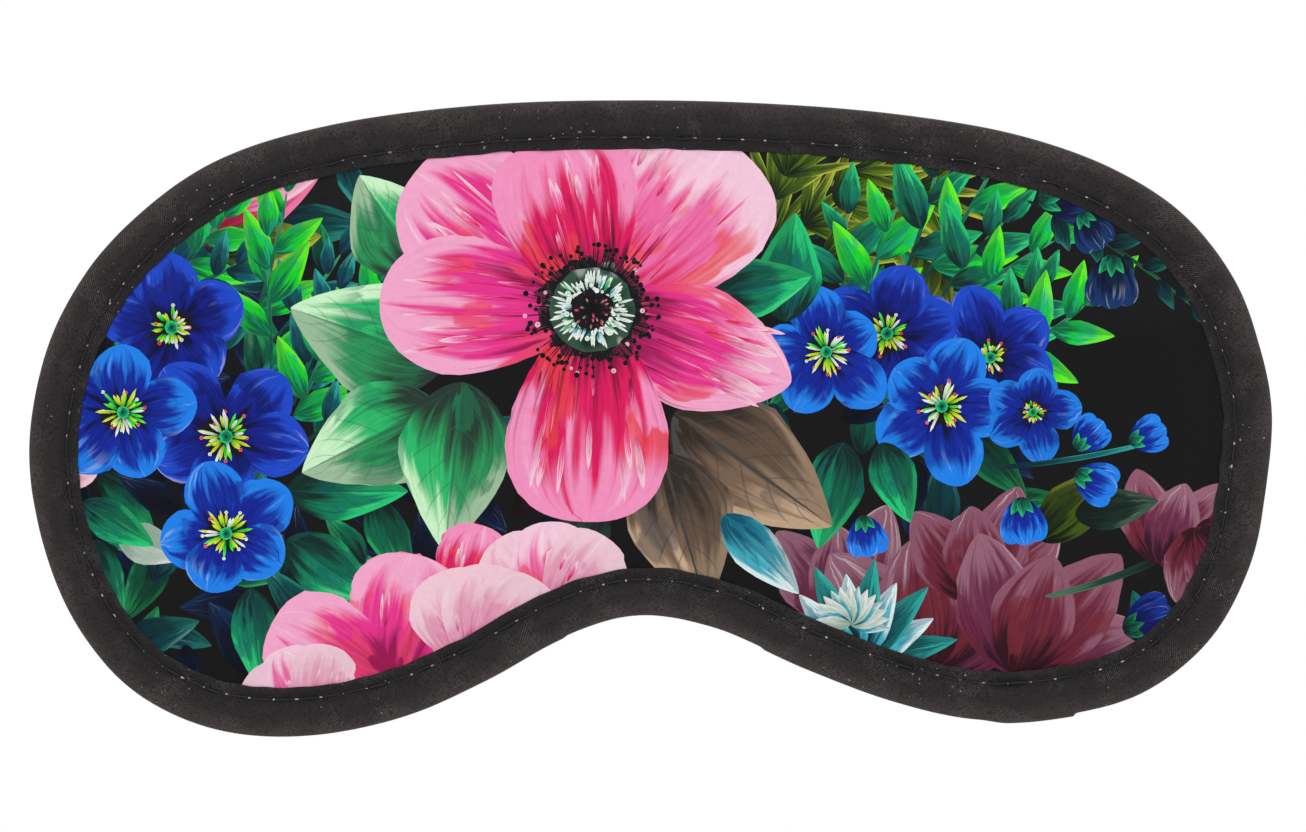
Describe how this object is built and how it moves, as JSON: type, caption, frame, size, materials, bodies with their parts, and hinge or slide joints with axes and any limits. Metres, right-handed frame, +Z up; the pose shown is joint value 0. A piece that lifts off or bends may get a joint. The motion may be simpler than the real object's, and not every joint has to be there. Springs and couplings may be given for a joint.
{
  "type": "sleep mask",
  "caption": "Padded sleep mask with a printed floral front, bound and topstitched edge, nose arch and an elastic strap with ring and slider.",
  "frame": {"origin": "middle of the cushioned back face that rests on the wearer's face", "axes": "+Y away from the face side of the mask, towards the back of the head; the printed front looks along -Y; +Z up as worn; +X to the right of someone looking at the front, which is the side called right here"},
  "size_m": [0.2054, 0.1319, 0.1052],
  "materials": {
    "printed_fabric": "satin print on black",
    "blackout_fabric": "matte",
    "foam": "matte open cell",
    "lining_fabric": "brushed",
    "binding_tape": "matte twill",
    "thread": "matte",
    "elastic": "ribbed webbing",
    "coated_metal": "satin nylon coat"
  },
  "bodies": {
    "mask": {"front_cover": "printed_fabric", "blackout_layer": "blackout_fabric", "foam_pad": "foam", "back_lining": "lining_fabric", "edge_binding": "binding_tape", "binding_stitch_front": "thread", "binding_stitch_back": "thread", "strap_tab": "elastic", "tab_stitch": "thread", "strap_doubled_layer": "elastic", "strap_left_front": "elastic", "strap_right_front": "elastic"},
    "ring": {"strap_ring": "coated_metal"},
    "slider": {"strap_slider": "coated_metal", "strap_end_loop": "elastic", "strap_end_stitch": "thread"},
    "strap_left": {"strap_left_rear": "elastic"},
    "strap_right": {"strap_right_rear": "elastic"},
    "strap_rear": {"strap_back": "elastic"}
  },
  "joints": [
    {"name": "ring_tilt", "type": "hinge", "parent": "mask", "child": "ring", "pos_m": [-0.093, 0.012, -0.002], "axis": [0, 0, 1], "range_deg": [-8, 8]},
    {"name": "strap_adjust", "type": "slide", "parent": "mask", "child": "slider", "axis": [0, 1, 0], "range_m": [-0.008, 0.02], "deforming": ["strap_doubled_layer", "strap_left_front"]},
    {"name": "strap_take_up_left", "type": "slide", "parent": "slider", "child": "strap_left", "axis": [0, 1, 0], "range_m": [-0.03, 0.012], "deforming": ["strap_left_rear"]},
    {"name": "strap_take_up_right", "type": "slide", "parent": "mask", "child": "strap_right", "axis": [0, 1, 0], "range_m": [-0.01, 0.004], "deforming": ["strap_right_front"]},
    {"name": "strap_stretch", "type": "slide", "parent": "strap_right", "child": "strap_rear", "axis": [0, 1, 0], "range_m": [0, 0.04], "stiffness_N_per_m": 75, "deforming": ["strap_right_rear"]}
  ],
  "couplings": [
    {"joint": "strap_take_up_left", "follows": "strap_adjust", "ratio": -1.5},
    {"joint": "strap_take_up_right", "follows": "strap_adjust", "ratio": -0.5}
  ]
}
